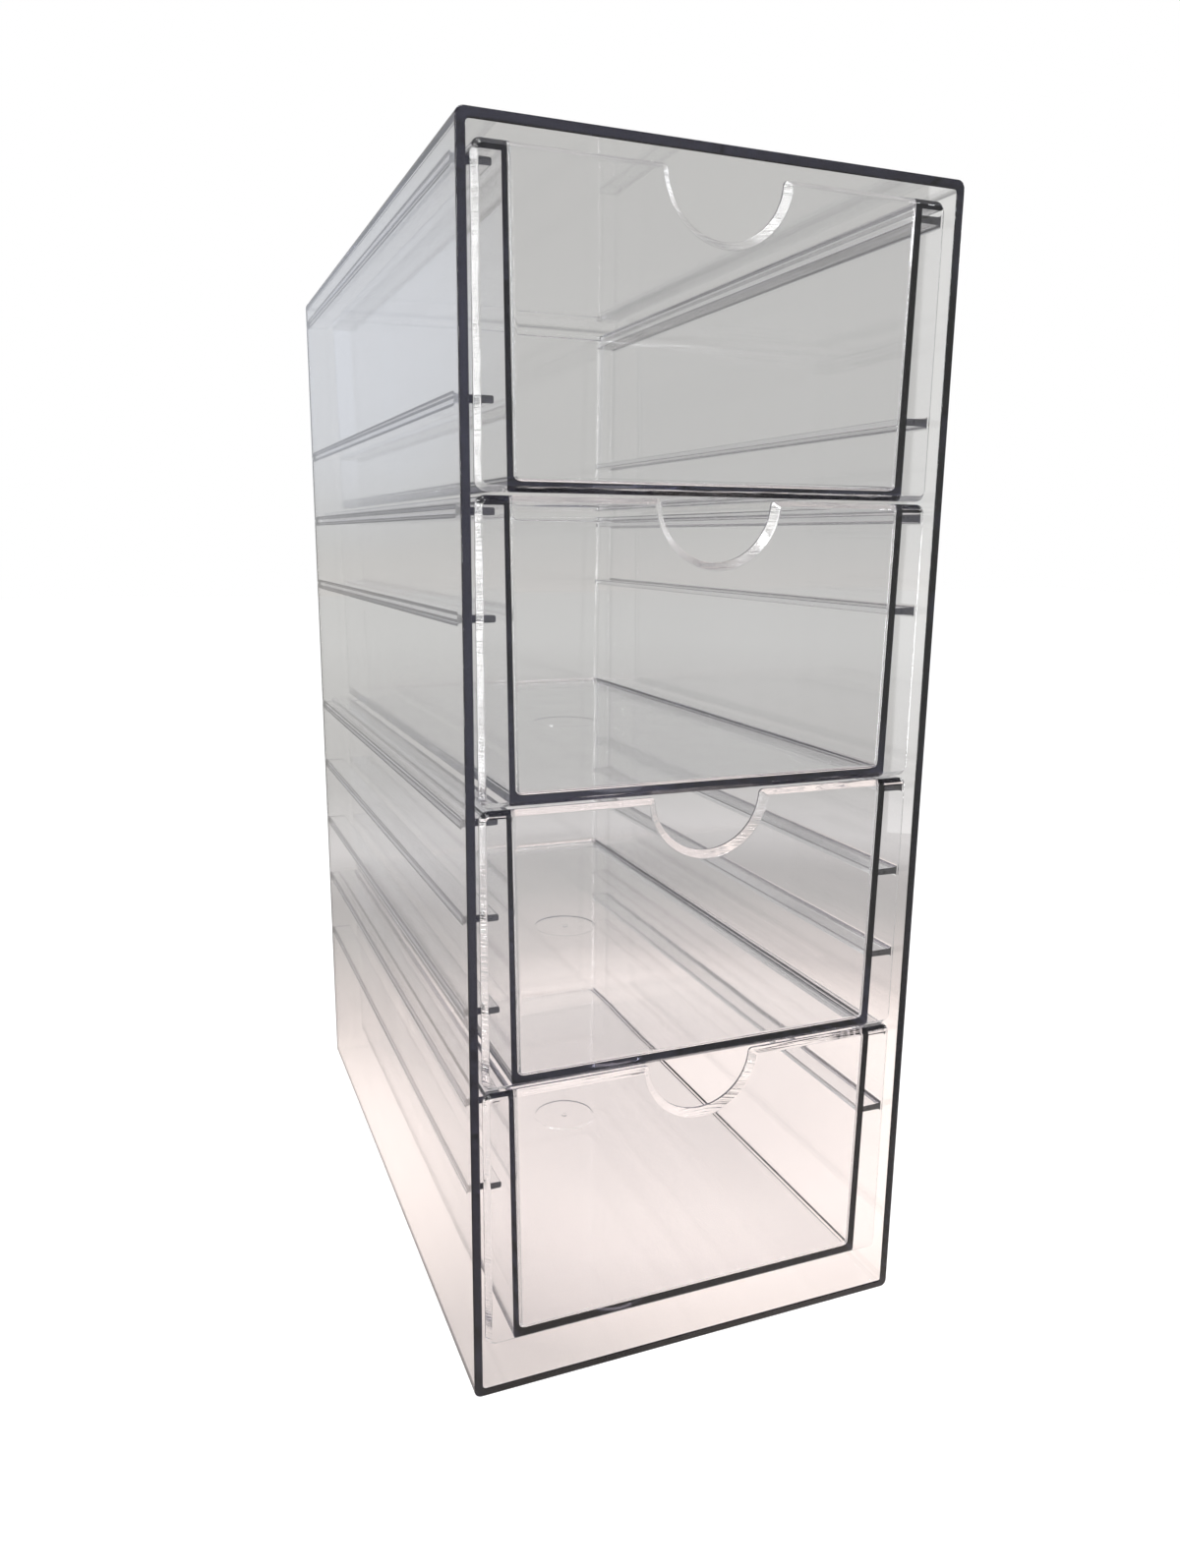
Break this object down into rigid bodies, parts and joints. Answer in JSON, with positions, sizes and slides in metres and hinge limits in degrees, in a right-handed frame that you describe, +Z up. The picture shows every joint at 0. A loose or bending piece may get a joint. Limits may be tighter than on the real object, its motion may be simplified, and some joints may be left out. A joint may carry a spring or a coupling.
{
  "type": "clear drawer organizer",
  "caption": "Tall clear plastic organizer with an open-fronted ribbed casing and slide-out drawers with half-moon thumb notches, for makeup and small items.",
  "frame": {"origin": "on the ground, under the middle of the casing's base", "axes": "+Z up, the open front with the drawer fronts faces -Y, +X to the right as seen from the front"},
  "size_m": [0.128, 0.2186, 0.305],
  "materials": {
    "casing_plastic": "clear, polished",
    "drawer_plastic": "clear, polished"
  },
  "bodies": {
    "casing": {"casing": "casing_plastic"},
    "drawer_1": {"drawer_1": "drawer_plastic"},
    "drawer_2": {"drawer_2": "drawer_plastic"},
    "drawer_3": {"drawer_3": "drawer_plastic"},
    "drawer_4": {"drawer_4": "drawer_plastic"}
  },
  "joints": [
    {"name": "drawer_1_slide", "type": "slide", "parent": "casing", "child": "drawer_1", "axis": [0, -1, 0], "range_m": [0, 0.165]},
    {"name": "drawer_2_slide", "type": "slide", "parent": "casing", "child": "drawer_2", "axis": [0, -1, 0], "range_m": [0, 0.165]},
    {"name": "drawer_3_slide", "type": "slide", "parent": "casing", "child": "drawer_3", "axis": [0, -1, 0], "range_m": [0, 0.165]},
    {"name": "drawer_4_slide", "type": "slide", "parent": "casing", "child": "drawer_4", "axis": [0, -1, 0], "range_m": [0, 0.165]}
  ]
}
